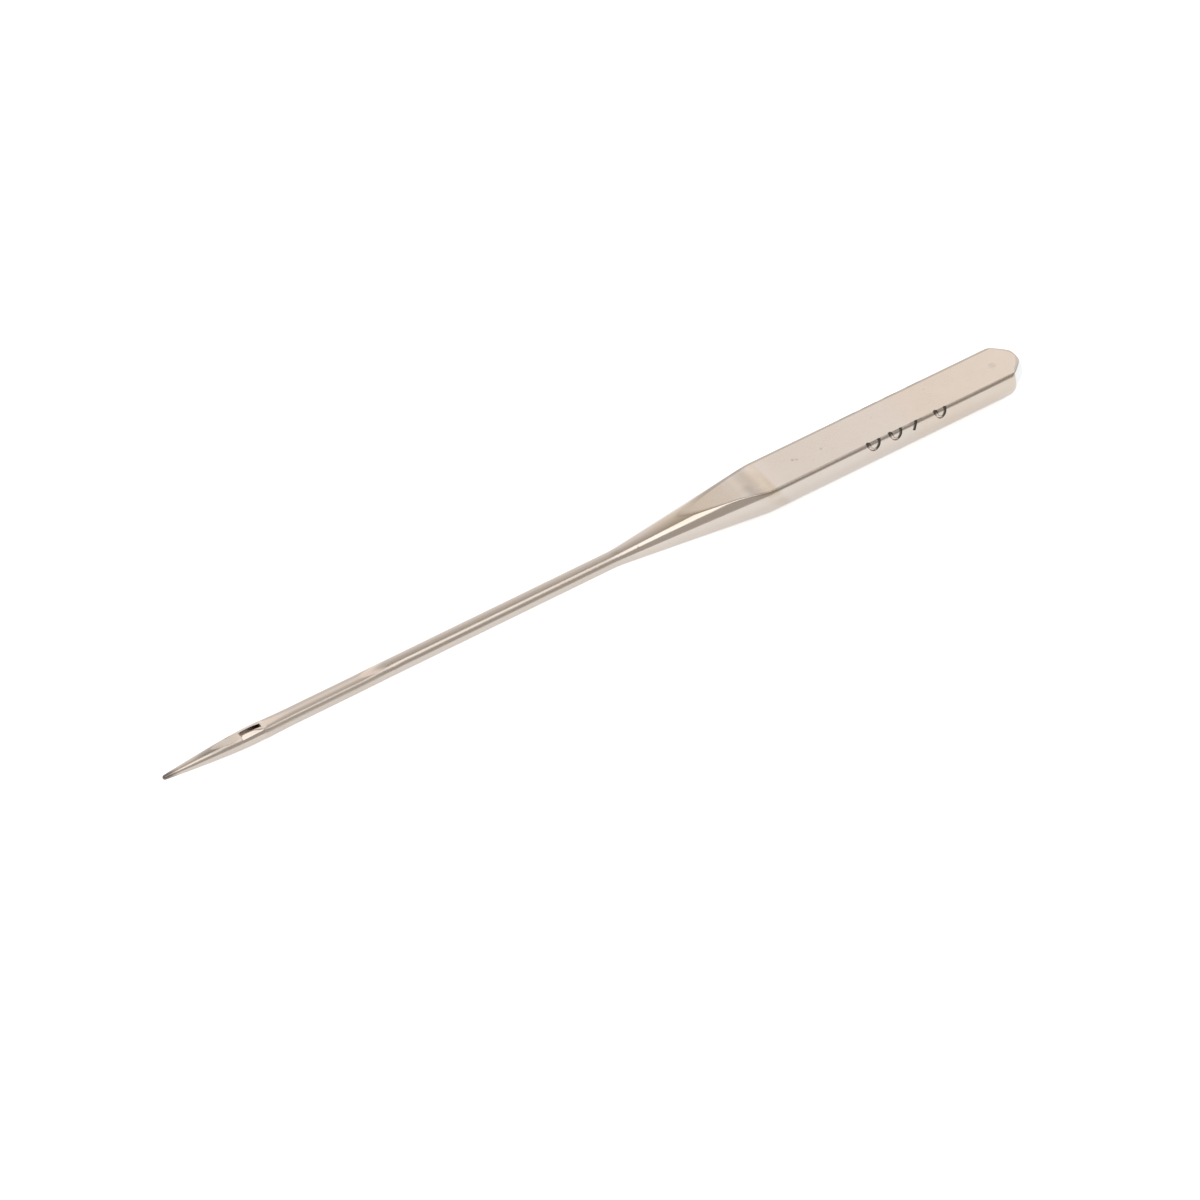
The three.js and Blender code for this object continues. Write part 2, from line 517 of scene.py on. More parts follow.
    def groove_point(self, width: float, depth: float, radius: float, turn: float) -> tuple[float, float]:
        """A point of the long groove's wall or floor.

        Args:
            width: Half the groove's width.
            depth: The groove's depth.
            radius: The wire's radius.
            turn: How far round the groove's profile, from 0 at its lip to 1 at its middle.

        Returns:
            How far out from the middle plane, and how high.
        """
        share = math.cos(math.pi / 2.0 * turn)
        out = width * share
        return out, depth * math.sqrt(max(0.0, 1.0 - share**4)) - math.sqrt(radius**2 - out**2)

    def half_ring(self, x: float, radius: float) -> list[tuple[float, float]]:
        """The cross-section of one half of the needle, from the top round to the bottom.

        Args:
            x: The place along the axis.
            radius: The wire's radius there.

        Returns:
            For each column, how far out from the middle plane and how high it is.
        """
        cut_height, softness = self.cut_at(x)
        first, last = self.edge_angles(x, radius, softness)
        depth = self.groove_depth_at(x, radius)
        width = self.groove_width_at(x, radius, depth)
        lip = math.pi - math.asin(width / radius)
        before_lip = lip - min(self.long_groove_lip / radius, self.widest_lip)
        ring = []
        for angle in walk(0.0, (first, last, before_lip), self.angle_columns):
            reach = radius
            if angle <= self.flat_limit:
                reach = soft_min(radius, cut_height / math.cos(angle), softness)
            if angle < math.pi / 2.0:
                reach = self.cheek_radius(x, reach, angle)
            out, high = reach * math.sin(angle), reach * math.cos(angle)
            if angle < math.pi / 2.0:
                high = soft_min(high, self.short_groove_height(x, radius, out), self.short_groove_softness)
            ring.append((out, high))
        start, corner = ring[-1], (width, -math.sqrt(radius**2 - width**2))
        end = self.groove_point(width, depth, radius, self.lip_turn)
        for share in spread(0.0, 1.0, self.lip_columns):
            weights = ((1.0 - share) ** 2, 2.0 * share * (1.0 - share), share**2)
            ring.append(tuple(sum(w * p[i] for w, p in zip(weights, (start, corner, end))) for i in range(2)))
        for turn in spread(self.lip_turn, 1.0, self.groove_columns):
            ring.append(self.groove_point(width, depth, radius, turn))
        oval = self.oval_at(x)
        lower, deeper = 1.0 - self.scarf_flattening * oval, 1.0 + self.scarf_deepening * oval
        return [(out, high * (lower if high > 0.0 else deeper)) for out, high in ring]

    def ring(self, station: Station) -> list[Place]:
        """The places of a whole ring's vertices, from the top down the near side and up the far side."""
        half = self.half_ring(station.x, station.radius)
        sides = [(-out, high) for out, high in half] + half[-2:0:-1]
        return [(station.x, across, high) for across, high in sides]


class Mouth(Enum):
    """The two mouths of the eye, by the side of the needle that they open on."""

    SCARF = 1.0
    GROOVE = -1.0


@dataclass
class Eye:
    """The slot through the blade, whose mouths are rounded where they meet the surface, in millimetres."""

    blank: Blank
    columns: int = 12
    mouth_rounding: float = 0.013
    shank_rounding: float = 0.1
    mouth_drop: float = 0.015
    rounding_steps: int = 5
    wall_margin: float = 0.02
    ring_margin: float = 0.0001
    ray_reach: float = 2.0

    def outline(self, x: float, y: float) -> tuple[float, float, float]:
        """Where the slot's outline passes a place, as a point of its spine and a way outwards.

        Args:
            x: The place along the axis.
            y: How far it is from the middle plane.

        Returns:
            The spine's x, and the x and y of the outward direction.
        """
        straight = (self.blank.eye_length - self.blank.eye_width) / 2.0
        along = x - self.blank.eye_middle
        spine = min(straight, max(-straight, along))
        outward = Vector((along - spine, y)).normalized()
        return self.blank.eye_middle + spine, outward.x, outward.y

    def rounding_at(self, out_x: float) -> float:
        """How far out the rim is rounded, by the x of the outward direction, more towards the shank."""
        return self.mouth_rounding + (self.shank_rounding - self.mouth_rounding) * max(0.0, out_x) ** 3

    def open_mouth(
        self, body: bmesh.types.BMesh, surface: BVHTree, mouth: Mouth, rim: list[Edge]
    ) -> list[Edge]:
        """Shapes one mouth of the eye: its outline, its rounded rim and the top of its wall.

        Args:
            body: The needle's mesh, with a rectangular hole where the mouth comes.
            surface: The needle's surface before the hole was made.
            mouth: Which mouth it is.
            rim: The edges of the hole.

        Returns:
            The edges of the innermost loop, which is the top of the wall.
        """
        spine = body.verts.layers.float_vector["spine"]
        outward = body.verts.layers.float_vector["outward"]
        half_width = self.blank.eye_width / 2.0
        above = Vector((0.0, 0.0, self.ray_reach * mouth.value))
        for vert in {v for edge in rim for v in edge.verts}:
            x, out_x, out_y = self.outline(vert.co.x, vert.co.y)
            reach = half_width + self.rounding_at(out_x)
            place = Vector((x, 0.0, 0.0)) + Vector((out_x, out_y, 0.0)) * reach
            vert.co = surface.ray_cast(place + above, -above)[0]
            vert[spine] = (x, 0.0, vert.co.z)
            vert[outward] = (out_x, out_y, 0.0)
        steps = [math.pi / 2.0 * share for share in spread(0.0, 1.0, self.rounding_steps)]
        offsets = [(1.0 - math.sin(turn), self.mouth_drop * (1.0 - math.cos(turn))) for turn in steps]
        offsets.append((0.0, self.mouth_drop + self.wall_margin))
        for share, drop in offsets:
            rim, verts = extrude(body, rim)
            for vert in verts:
                down = Vector((0.0, 0.0, drop * mouth.value))
                reach = half_width + share * self.rounding_at(vert[outward].x)
                vert.co = vert[spine] + vert[outward] * reach - down
        return rim

    def pierce(self, body: bmesh.types.BMesh, half_columns: int) -> None:
        """Cuts the eye through the needle.

        Args:
            body: The needle's mesh, whose vertices carry their column.
            half_columns: The number of columns on one side of the needle.
        """
        column = body.verts.layers.int["column"]
        body.verts.layers.float_vector.new("spine")
        body.verts.layers.float_vector.new("outward")
        body.normal_update()
        surface = BVHTree.FromBMesh(body)
        first = self.blank.eye_shank_end + self.blank.eye_shank_lead + self.ring_margin
        last = self.blank.eye_point_end - self.blank.eye_point_lead - self.ring_margin
        doomed = []
        for face in body.faces:
            if any(v.co.x > first or v.co.x < last for v in face.verts):
                continue
            steps = [min(v[column], 2 * half_columns - v[column]) for v in face.verts]
            if max(steps) <= self.columns or min(steps) >= half_columns - self.columns:
                doomed.append(face)
        bmesh.ops.delete(body, geom=doomed, context="FACES")
        loops = []
        rims = [edge for edge in body.edges if edge.is_boundary]
        for mouth in Mouth:
            rim = [edge for edge in rims if edge.verts[0].co.z * mouth.value > 0.0]
            loops += self.open_mouth(body, surface, mouth, rim)
        bmesh.ops.bridge_loops(body, edges=loops)


class Glyph(Enum):
    """The two plain marks that are stamped into the shank."""

    ZERO = "zero"
    SLASH = "slash"


@dataclass
class StampedMarks:
    """Plain marks stamped into the round side of the shank, whose upper halves the flat grinds away."""

    shank_radius: float
    glyphs: tuple[tuple[Glyph, float, float], ...] = (
        (Glyph.ZERO, -7.38, 0.25),
        (Glyph.ZERO, -6.35, 0.24),
        (Glyph.SLASH, -5.38, 0.17),
        (Glyph.ZERO, -4.24, 0.22),
    )
    middle_angle: float = math.radians(57.0)
    half_height: float = 0.34
    stroke_radius: float = 0.07
    stroke_lift: float = 0.015
    stroke_lead: float = 0.15
    dot_swell: float = 0.35
    dot_run: Span = (0.7, 0.95)
    stroke_sides: int = 10
    stroke_steps: int = 28

    def path(self, glyph: Glyph, x: float, half_width: float) -> list[tuple[float, float]]:
        """The middle line of a mark, laid out flat.

        Args:
            glyph: Which mark it is.
            x: The place of its middle along the shank.
            half_width: Half its width along the shank.

        Returns:
            Points as x and distance round the shank from the marks' middle line.
        """
        if glyph is Glyph.SLASH:
            shares = [-1.0, *spread(-1.0, 1.0, self.stroke_steps)]
            return [(x + half_width * share, -self.half_height * share) for share in shares]
        start, end = -self.stroke_lead, math.pi + self.stroke_lead
        turns = [start, *spread(start, end, self.stroke_steps)]
        return [(x + half_width * math.cos(turn), self.half_height * math.sin(turn)) for turn in turns]

    def cut(self, cutter: bmesh.types.BMesh, path: list[tuple[float, float]], swell: float) -> None:
        """Adds one mark's stroke to the cutter, as a closed tube that lies along the shank's surface.

        Args:
            cutter: The mesh that is to be cut out of the needle.
            path: The stroke's middle line, laid out flat.
            swell: How much thicker the stroke is at its last end.
        """
        corner = cutter.verts.layers.int["corner"]
        ring = bmesh.ops.create_circle(cutter, cap_ends=True, segments=self.stroke_sides, radius=1.0)["verts"]
        for number, vert in enumerate(ring):
            vert[corner] = number
        rim = [edge for edge in cutter.edges if edge.verts[0] in ring and edge.verts[1] in ring]
        for step, (x, round_shank) in enumerate(path):
            if step:
                rim, ring = extrude(cutter, rim)
            before, after = path[max(0, step - 1)], path[min(len(path) - 1, step + 1)]
            heading = Vector((after[0] - before[0], after[1] - before[1])).normalized()
            radius = self.stroke_radius * (1.0 + swell * smoothstep(*self.dot_run, step / (len(path) - 1)))
            for vert in ring:
                turn = 2.0 * math.pi * vert[corner] / self.stroke_sides
                across = radius * math.cos(turn)
                reach = self.shank_radius + self.stroke_lift + radius * math.sin(turn)
                angle = self.middle_angle + (round_shank + across * heading.x) / self.shank_radius
                place_x = x - across * heading.y
                vert.co = (place_x, -reach * math.sin(angle), reach * math.cos(angle))
        bmesh.ops.contextual_create(cutter, geom=rim)

    def cutter(self) -> bpy.types.Object:
        """The object that is cut out of the needle, holding the strokes of all the marks."""
        cutter = bmesh.new()
        cutter.verts.layers.int.new("corner")
        for glyph, x, half_width in self.glyphs:
            self.cut(cutter, self.path(glyph, x, half_width), self.dot_swell if glyph is Glyph.ZERO else 0.0)
        bmesh.ops.recalc_face_normals(cutter, faces=cutter.faces)
        return add_shape("mark_cutter", cutter)


@dataclass
class Needle:
    """The whole needle: its turned, ground and milled body with the eye and the stamped marks."""

    length: float
    sharp_angle: float = math.radians(32.0)
    blank: Blank = field(init=False)
    section: CrossSection = field(init=False)
    eye: Eye = field(init=False)
    marks: StampedMarks = field(init=False)

    def __post_init__(self) -> None:
        """Makes the parts of the needle from its one driving length."""
        self.blank = Blank(self.length)
        self.section = CrossSection(self.blank)
        self.eye = Eye(self.blank)
        self.marks = StampedMarks(self.blank.shank_radius)

    def body(self) -> bmesh.types.BMesh:
        """The needle's body, a ring carried from the butt to the tip and closed at both ends."""
        body = bmesh.new()
        body.verts.layers.int.new("column")
        rings = [self.section.ring(station) for station in self.blank.stations()]
        sweep(body, rings, (0.0, 0.0, 0.0), (-self.length, 0.0, 0.0))
        bmesh.ops.recalc_face_normals(body, faces=body.faces)
        return body

    def stamp(self, needle: bpy.types.Object) -> None:
        """Cuts the marks into the shank.

        Args:
            needle: The needle's object, still in millimetres.
        """
        cutter = self.marks.cutter()
        cut = needle.modifiers.new("marks", "BOOLEAN")
        cut.operation = "DIFFERENCE"
        cut.solver = "EXACT"
        cut.object = cutter
        bpy.context.view_layer.update()
        evaluated = needle.evaluated_get(bpy.context.evaluated_depsgraph_get())
        stamped = bpy.data.meshes.new_from_object(evaluated)
        needle.modifiers.clear()
        plain = needle.data
        needle.data = stamped
        bpy.data.meshes.remove(plain)
        bpy.data.meshes.remove(cutter.data)

    def finish_mesh(self, needle: bpy.types.Object) -> None:
        """Smooths the surface, keeps the marks' edges sharp and brings the mesh to metres.

        Args:
            needle: The needle's object, in millimetres.
        """
        body = bmesh.new()
        body.from_mesh(needle.data)
        for face in body.faces:
            face.smooth = True
        for edge in body.edges:
            if len(edge.link_faces) == 2 and edge.calc_face_angle() > self.sharp_angle:
                edge.smooth = False
        bmesh.ops.scale(body, vec=Vector((1.0, 1.0, 1.0)) / MM_PER_METRE, verts=body.verts)
        body.to_mesh(needle.data)
        body.free()

    def build(self) -> bpy.types.Object:
        """Builds the needle's object, with its place in its mesh."""
        body = self.body()
        self.eye.pierce(body, self.section.half_columns)
        needle = add_shape("plated_needle", body)
        self.stamp(needle)
        self.finish_mesh(needle)
        return needle


class Value:
    """A number that flows through a shader, whose arithmetic adds Math nodes."""

    def __init__(self, shader: "Shader", socket: bpy.types.NodeSocket) -> None:
        """Wraps an output socket of a shader's node."""
        self.shader = shader
        self.socket = socket

    def __add__(self, other: "Value | float") -> "Value":
        """This value plus another."""
        return self.shader.math("ADD", self, other)

    def __radd__(self, other: float) -> "Value":
        """A number plus this value."""
        return self.shader.math("ADD", other, self)

    def __sub__(self, other: "Value | float") -> "Value":
        """This value less another."""
        return self.shader.math("SUBTRACT", self, other)

    def __rsub__(self, other: float) -> "Value":
        """A number less this value."""
        return self.shader.math("SUBTRACT", other, self)

    def __mul__(self, other: "Value | float") -> "Value":
        """This value times another."""
        return self.shader.math("MULTIPLY", self, other)

    def __rmul__(self, other: float) -> "Value":
        """A number times this value."""
        return self.shader.math("MULTIPLY", other, self)

    def __truediv__(self, other: "Value | float") -> "Value":
        """This value over another."""
        return self.shader.math("DIVIDE", self, other)

    def __pow__(self, other: "Value | float") -> "Value":
        """This value to a power."""
        return self.shader.math("POWER", self, other)

    def __abs__(self) -> "Value":
        """This value without its sign."""
        return self.shader.math("ABSOLUTE", self)

    def rise(self, low: "Value | float", high: "Value | float") -> "Value":
        """An even rise from 0 to 1 as this value goes from low to high, which may lie in either order."""
        settings = {"interpolation_type": "SMOOTHSTEP"}
        sockets = {"Value": self, "From Min": low, "From Max": high}
        return self.shader.value("ShaderNodeMapRange", settings, sockets, "Result")


@dataclass(frozen=True)
class Grain:
    """A noise: what its coordinates are multiplied by, its scale and its number of finer layers."""

    stretch: Place
    scale: float
    detail: float
    roughness: float = 0.55


class Shader:
    """The nodes of one material or of the world."""

    def __init__(self, owner: bpy.types.Material | bpy.types.World) -> None:
        """Starts the node tree of a material or of the world afresh."""
        owner.use_nodes = True
        self.tree = owner.node_tree
        self.tree.nodes.clear()

    def node(self, kind: str, settings: dict | None = None, sockets: dict | None = None) -> bpy.types.Node:
        """Adds a node.

        Args:
            kind: The node's type.
            settings: Its own settings, set first.
            sockets: The values or links of its inputs, by name or number.

        Returns:
            The node.
        """
        node = self.tree.nodes.new(kind)
        for name, setting in (settings or {}).items():
            setattr(node, name, setting)
        for name, given in (sockets or {}).items():
            source = given.socket if isinstance(given, Value) else given
            if isinstance(source, bpy.types.NodeSocket):
                self.tree.links.new(source, node.inputs[name])
            else:
                node.inputs[name].default_value = source
        return node

    def value(self, kind: str, settings: dict | None, sockets: dict | None, output: str | int = 0) -> Value:
        """Adds a node and wraps one of its outputs, given by name or number."""
        return Value(self, self.node(kind, settings, sockets).outputs[output])

    def math(self, operation: str, *values: Value | float) -> Value:
        """Adds a Math node for values and numbers."""
        return self.value("ShaderNodeMath", {"operation": operation}, dict(enumerate(values)))

    def scaled(self, vector: Value, factor: Value | float) -> Value:
        """A vector or a colour times a number."""
        sockets = {"Vector": vector, "Scale": factor}
        return self.value("ShaderNodeVectorMath", {"operation": "SCALE"}, sockets)

    def split(self, vector: Value) -> list[Value]:
        """The x, y and z of a vector."""
        outputs = self.node("ShaderNodeSeparateXYZ", None, {"Vector": vector}).outputs
        return [Value(self, outputs[axis]) for axis in "XYZ"]

    def mix(self, share: Value, first: Value | Colour, second: Value | Colour) -> Value:
        """Mixes two colours by the share of the second."""
        return self.value("ShaderNodeMix", {"data_type": "RGBA"}, {0: share, 6: first, 7: second}, 2)

    def layers(self, colour: Value | Colour, layers: list[tuple[Value, Colour]]) -> Value:
        """Lays colours over another.

        Args:
            colour: The colour underneath.
            layers: Each layer's share and its colour, from the lowest to the highest.

        Returns:
            The colour of all the layers together.
        """
        for share, layer in layers:
            colour = self.mix(share, colour, layer)
        return colour

    def noise(self, place: Value, grain: Grain) -> Value:
        """Noise from 0 to 1.

        Args:
            place: The wrapped coordinates.
            grain: The look of the noise.

        Returns:
            The noise.
        """
        mapping = self.value("ShaderNodeMapping", None, {"Vector": place, "Scale": grain.stretch})
        sockets = {"Scale": grain.scale, "Detail": grain.detail, "Roughness": grain.roughness}
        return self.value("ShaderNodeTexNoise", None, {"Vector": mapping, **sockets})


class Patch(Enum):
    """Soft-edged patches of the needle's finish and of its painted light and shade. Each is a product of
    rises from 0 to 1, and a rise is the name of one of a Surface's measures, and where it starts and ends.
    """

    FLAT = (("above_ramp", -0.02, -0.004), ("past_taper", 0.0, -1.5))
    LEVEL_FLAT = (*FLAT, ("past_shank", 0.5, 0.0))
    FLAT_RAMP = (*FLAT, ("past_shank", 0.0, 0.5), ("past_ramp", 0.2, -0.2))
    FLAT_RUNOUT = (*FLAT, ("past_ramp", 0.0, 0.5))
    RAMP_EDGE = (
        ("past_shank", -0.4, 0.1),
        ("past_ramp", 0.0, -0.84),
        ("above_ramp", 0.01, -0.01),
        ("above_ramp", -0.08, -0.03),
        ("y", 0.0, -0.3),
    )
    NEAR_EDGE = (
        ("above_skin", -0.05, -0.03),
        ("above_flat", -0.14, -0.07),
        ("y", 0.0, -0.3),
        ("past_shank", 0.2, -0.4),
    )
    FAR_EDGE = (
        ("share_of_radius", 0.9, 0.93),
        ("above_flat", -0.2, 0.0),
        ("past_shank", 3.4, 2.0),
        ("y", -0.2, 0.0),
    )
    UNDERSIDE = (("height_share", -0.22, -0.42), ("past_taper", 0.0, -1.5))
    CHAMFER = (("past_chamfer", 0.03, -0.03), ("above_flat", 0.0, -0.03))
    CHAMFER_RIM = (("above_chamfer", -0.1, -0.05), ("above_flat", -0.08, -0.04), ("past_chamfer", 0.0, -0.1))
    BUTT_END = (("x", -6.2, -4.8),)
    CONE = (("past_taper", -0.6, -2.2), ("past_shank", -0.2, 0.5), ("facing_up", 0.79, 0.86))
    CONE_TOP_END = (("past_shank", 2.8, 1.8),)
    CONE_TOP = (("above_flat", -0.06, -0.01),)
    BLADE = (("past_taper", -1.5, 0.5),)
    SCARF = (("above_scarf", -0.012, -0.003), ("above_scarf", 0.035, 0.01))
    SCARF_LENGTH = (("past_scarf_start", -0.3, 0.3),)
    BESIDE_SCARF = (("past_scarf_start", -0.4, 0.6), ("past_eye_start", 0.3, -0.4))
    SHORT_GROOVE = (
        ("past_short_groove", 0.0, -0.4),
        ("past_eye", -0.05, 0.05),
        ("beside_short_groove", 0.01, -0.01),
        ("z", 0.1, 0.15),
    )
    CHEEKS = (("past_eye", 0.03, -0.05), ("past_eye_start", -0.1, 0.05), ("beside_eye", -0.0165, 0.0165))
    EYE_WALLS = (
        ("beside_eye", 0.004, 0.001),
        ("past_eye", 0.006, 0.001),
        ("past_eye_start", -0.006, -0.001),
    )
    EYE_SHANK_END = (("past_eye_start", 0.55, 0.1),)
    POINT_TOP = (("past_eye", -0.1, 0.9), ("past_eye", 2.3, 1.4), ("z", 0.2, 0.24))
    TIP = (("before_tip", 0.7, 0.15),)
    SHANK_TOP = (("z", 0.2, 0.5),)
    STROKES = (("above_skin", -0.004, -0.016), ("above_flat", 0.0, -0.01))
    STROKE_TOPS = (("above_flat", -0.17, -0.12),)


class Surface:
    """A place on the needle's surface, measured from the needle's landmarks in millimetres."""

    def __init__(self, shader: Shader, blank: Blank, section: CrossSection) -> None:
        """Adds the nodes that measure the place.

        Args:
            shader: The needle's shader.
            blank: The needle's turned wire.
            section: What is ground and milled into it.
        """
        self.place = shader.scaled(shader.value("ShaderNodeTexCoord", None, None, "Object"), MM_PER_METRE)
        x, y, z = self.x, self.y, self.z = shader.split(self.place)
        reach = (y * y + z * z) ** 0.5
        past_shank = blank.shank_end - x
        flat_height = section.flat_height + section.flat_rise * past_shank.rise(0.0, section.flat_ramp)
        cone_slope = (blank.shank_radius - blank.blade_radius) / blank.taper_length
        radius = blank.shank_radius - past_shank * past_shank.rise(-0.01, 0.0) * cone_slope
        self.measures = {
            "x": x,
            "y": y,
            "z": z,
            "past_chamfer": blank.chamfer_end - x,
            "past_shank": past_shank,
            "past_ramp": past_shank - section.flat_ramp,
            "past_taper": blank.taper_end - x,
            "past_scarf_start": section.scarf_start - x,
            "past_eye_start": blank.eye_shank_end - x,
            "past_eye": blank.eye_point_end - x,
            "past_short_groove": blank.eye_point_end - section.short_groove_length - x,
            "before_tip": x + blank.length,
            "above_flat": z - section.flat_height,
            "above_ramp": z - flat_height,
            "above_scarf": z - section.scarf_height * (1.0 - section.scarf_flattening),
            "above_skin": reach - blank.shank_radius,
            "above_chamfer": reach - (blank.butt_face_radius - x * blank.chamfer_slope),
            "beside_eye": abs(y) - blank.eye_width / 2.0,
            "beside_short_groove": abs(y) - section.short_groove_half_width,
            "facing_up": z / reach,
            "share_of_radius": reach / radius,
            "height_share": z / radius,
        }

    def cover(self, patch: Patch) -> Value:
        """How far a patch covers the place, from 0 to 1."""
        return math.prod(self.measures[name].rise(start, end) for name, start, end in patch.value)


@dataclass(frozen=True)
class NickelPlate:
    """Polished nickel plate over steel, matt where it is ground, with the marks of heat and handling and with
    painted light and shade.
    """

    blank: Blank
    section: CrossSection
    marks: StampedMarks
    plate_colour: Colour = (0.76, 0.67, 0.602, 1.0)
    warm_colour: Colour = (0.752, 0.641, 0.548, 1.0)
    cone_colour: Colour = (0.75, 0.635, 0.525, 1.0)
    straw_colour: Colour = (0.654, 0.547, 0.439, 1.0)
    # The chamfer is paler: partly its bare ground steel, partly a painted reflection of the bright table
    # beyond the butt.
    chamfer_steel_and_sheen_colour: Colour = (0.93, 0.91, 0.91, 1.0)
    # Dark colour for the dust, the specks and the darker tip, and for the painted shade lines.
    dirt_and_shade_colour: Colour = (0.1, 0.085, 0.085, 1.0)
    # Painted shade in the eye.
    eye_shade_colour: Colour = (0.15, 0.085, 0.05, 1.0)
    # Painted shade in the stamped strokes.
    mark_shade_colour: Colour = (0.1, 0.1, 0.09, 1.0)
    # Painted light and shade: factors on the plate colour that brighten the level flat and its run-out, and
    # darken the flat's ramp, its rounded edges, the top of the point and the blade, for how brightly each
    # reflects the studio.
    painted_light_gains: tuple[tuple[Patch, float], ...] = (
        (Patch.LEVEL_FLAT, 0.16),
        (Patch.FLAT_RAMP, -0.14),
        (Patch.FLAT_RUNOUT, 0.06),
        (Patch.RAMP_EDGE, -0.22),
        (Patch.NEAR_EDGE, -0.25),
        (Patch.POINT_TOP, -0.24),
        (Patch.BLADE, -0.07),
    )
    # The scarf is brightened partly for its ground finish and partly as painted light.
    scarf_light_gain: float = 0.38
    # Painted shade: dark lines along the flat's far edge and round the chamfer's rim, and a faint darkening
    # of the underside, for the dark reflections there.
    painted_shade_lines: tuple[tuple[Patch, float], ...] = (
        (Patch.FAR_EDGE, 0.32),
        (Patch.CHAMFER_RIM, 0.3),
        (Patch.UNDERSIDE, 0.05),
    )
    mottle: Grain = Grain((0.8, 1.0, 1.0), 1.6, 4.0)
    streaks: Grain = Grain((0.35, 9.0, 9.0), 4.0, 4.0)
    specks: Grain = Grain((1.0, 1.0, 1.0), 5.0, 2.0)
    speck_limits: Span = (0.72, 0.8)
    speck_darkening: float = 0.25
    tip_darkening: float = 0.75
    most_darkening: float = 0.9
    dust: tuple[tuple[float, float, float, float, float], ...] = (
        (-10.5, 0.06, 0.545, 0.1, 0.22),
        (-10.35, 0.0, 0.545, 0.09, 0.2),
        (-9.25, -0.05, 0.545, 0.07, 0.25),
        (-1.13, -0.04, 0.545, 0.2, 0.12),
        (-17.83, -0.26, 0.3, 0.06, 0.5),
        (-29.2, -0.26, -0.2, 0.07, 0.9),
    )
    warm_patches: float = 0.3
    warm_patch_limits: Span = (0.3, 0.7)
    cone_paling: float = 0.45
    cone_side_tint: float = 0.1
    cone_mottle: float = 0.4
    straw_start: float = -0.3
    straw_end: float = 0.2
    straw_start_run: Span = (-0.7, 0.3)
    straw_end_run: float = 0.14
    straw_slant: float = 0.65
    straw_fan: float = 0.5
    straw_wander: float = 0.12
    straw_far_side: float = 0.45
    straw_sides: Span = (0.7, -0.3)
    straw_fading: float = 0.3
    straw_fading_run: Span = (0.1, 0.3)
    straw_mottle_limits: Span = (0.1, 0.6)
    groove_grinding: float = 0.85
    mark_shade_strength: float = 0.9
    mark_reach: float = 1.5
    mark_rim: float = 0.01
    mark_shading: Span = (-0.3, 0.5)
    eye_shade_point_end: float = 0.25
    polished_roughness: float = 0.15
    blade_roughness: float = 0.11
    scarf_side_roughness: float = 0.08
    ground_roughness: float = 0.26
    scarf_roughness: float = 0.42
    streak_roughness: float = 0.08
    mottle_roughness: float = 0.06
    grinding_depth: float = 0.0000012
    drawing_depth: float = 0.0000004

    def material(self) -> bpy.types.Material:
        """Builds the needle's material on its own coordinates."""
        material = bpy.data.materials.new("nickel_plate")
        shader = Shader(material)
        at = Surface(shader, self.blank, self.section)
        mottle = shader.noise(at.place, self.mottle)
        streaks = shader.noise(at.place, self.streaks)
        on_flat, on_scarf = at.cover(Patch.FLAT), self.on_scarf(at)
        tints = [
            (self.warmth(at, mottle), self.warm_colour),
            (self.cone_tint(at, mottle), self.cone_colour),
            (self.straw(at, mottle), self.straw_colour),
        ]
        # Painted light and shade: the plate colour is brightened or darkened patch by patch.
        gain = 1.0 + self.scarf_light_gain * on_scarf
        for patch, amount in self.painted_light_gains:
            gain = gain + amount * at.cover(patch)
        stains = [
            # Paler chamfer, partly a painted reflection of the bright table.
            (at.cover(Patch.CHAMFER), self.chamfer_steel_and_sheen_colour),
            # Painted shade lines along the edges and on the underside.
            (sum(amount * at.cover(patch) for patch, amount in self.painted_shade_lines), self.dirt_and_shade_colour),
            (self.specks_and_dark_tip(shader, at), self.dirt_and_shade_colour),
            (self.dust_cover(at), self.dirt_and_shade_colour),
            # Painted shade in the stamped strokes.
            (self.painted_mark_shade(at), self.mark_shade_colour),
            # Painted shade on the eye's walls.
            (self.painted_eye_shade(at), self.eye_shade_colour),
        ]
        colour = shader.layers(shader.scaled(shader.layers(self.plate_colour, tints), gain), stains)
        roughness = self.polished_roughness + on_flat * (self.ground_roughness - self.polished_roughness)
        roughness = roughness + on_scarf * (self.scarf_roughness - self.polished_roughness)
        roughness = roughness + self.blade_roughness * at.cover(Patch.BLADE) * (1.0 - at.cover(Patch.CHEEKS))
        roughness = roughness + self.scarf_side_roughness * at.cover(Patch.BESIDE_SCARF)
        roughness = roughness + self.streak_roughness * (streaks - 0.5)
        roughness = roughness + self.mottle_roughness * (mottle - 0.5)
        depth = self.drawing_depth + (on_flat + on_scarf) * (self.grinding_depth - self.drawing_depth)
        relief = {"Strength": 1.0, "Distance": 1.0, "Height": streaks * depth}
        bump = shader.value("ShaderNodeBump", None, relief)
        sockets = {"Metallic": 1.0, "Base Color": colour, "Roughness": roughness, "Normal": bump}
        surface = shader.value("ShaderNodeBsdfPrincipled", None, sockets)
        shader.node("ShaderNodeOutputMaterial", None, {"Surface": surface})
        return material

    def on_scarf(self, at: Surface) -> Value:
        """Where the scarf and the short groove are ground, from 0 to 1."""
        ground = at.cover(Patch.SCARF) * (1.0 - at.cover(Patch.CHEEKS))
        ground = ground + self.groove_grinding * at.cover(Patch.SHORT_GROOVE) * (1.0 - ground)
        return ground * at.cover(Patch.SCARF_LENGTH)

    def warmth(self, at: Surface, mottle: Value) -> Value:
        """A faint warmer cast in patches, stronger towards the butt."""
        patches = mottle.rise(*self.warm_patch_limits)
        return patches * self.warm_patches + (1.0 - self.warm_patches) * at.cover(Patch.BUTT_END)

